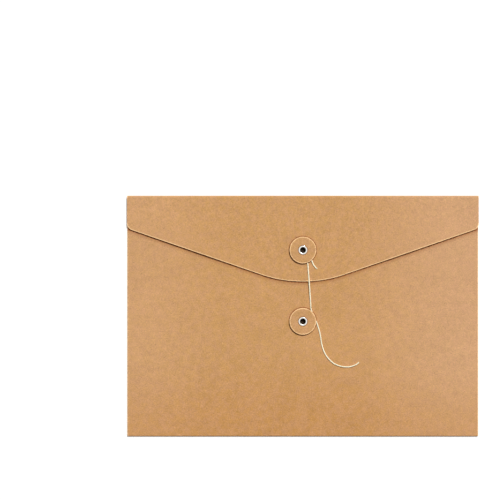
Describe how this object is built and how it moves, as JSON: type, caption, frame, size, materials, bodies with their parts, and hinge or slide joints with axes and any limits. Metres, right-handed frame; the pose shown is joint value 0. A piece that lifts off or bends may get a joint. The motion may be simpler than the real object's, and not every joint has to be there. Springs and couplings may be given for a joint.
{
  "type": "kraft file folder",
  "caption": "Landscape kraft card file folder with a hinged flap that ties shut by a string under two card buttons.",
  "frame": {"origin": "under the middle of the folder as it lies on its back, on the surface that it lies on", "axes": "+X across the folder's width to the right, +Y up the folder to the flap's crease, +Z out of its front"},
  "size_m": [0.335, 0.2294, 0.0068],
  "materials": {
    "kraft_card": "matte unbleached kraft card",
    "button_card": "matte pressed kraft card",
    "eyelet_metal": "bright plated",
    "cotton_string": "twisted cotton",
    "dried_glue": "dried clear"
  },
  "bodies": {
    "envelope": {"back_panel": "kraft_card", "front_panel": "kraft_card", "bottom_fold": "kraft_card", "left_side_fold": "kraft_card", "right_side_fold": "kraft_card", "left_side_tab": "kraft_card", "right_side_tab": "kraft_card", "left_glue_line": "dried_glue", "right_glue_line": "dried_glue", "flap_crease": "kraft_card", "lower_eyelet": "eyelet_metal", "lower_backing_washer": "button_card"},
    "flap": {"top_flap": "kraft_card", "upper_eyelet": "eyelet_metal", "upper_backing_washer": "button_card"},
    "upper_disc": {"upper_button": "button_card"},
    "lower_disc": {"lower_button": "button_card"},
    "tie_string": {"string": "cotton_string"}
  },
  "joints": [
    {"name": "flap_hinge", "type": "hinge", "parent": "envelope", "child": "flap", "pos_m": [0, 0.1128, 0.00195], "axis": [-1, 0, 0], "range_deg": [0, 176], "deforming": ["flap_crease", "string"]},
    {"name": "upper_button_spin", "type": "hinge", "parent": "flap", "child": "upper_disc", "pos_m": [0, 0.06295, 0.0058], "axis": [0, 0, 1], "continuous": true},
    {"name": "lower_button_spin", "type": "hinge", "parent": "envelope", "child": "lower_disc", "pos_m": [0, -0.00495, 0.00425], "axis": [0, 0, 1], "continuous": true},
    {"name": "string_swing", "type": "hinge", "parent": "flap", "child": "tie_string", "pos_m": [0, 0.06295, 0.00456], "axis": [0, 0, 1], "range_deg": [0, 40]}
  ]
}
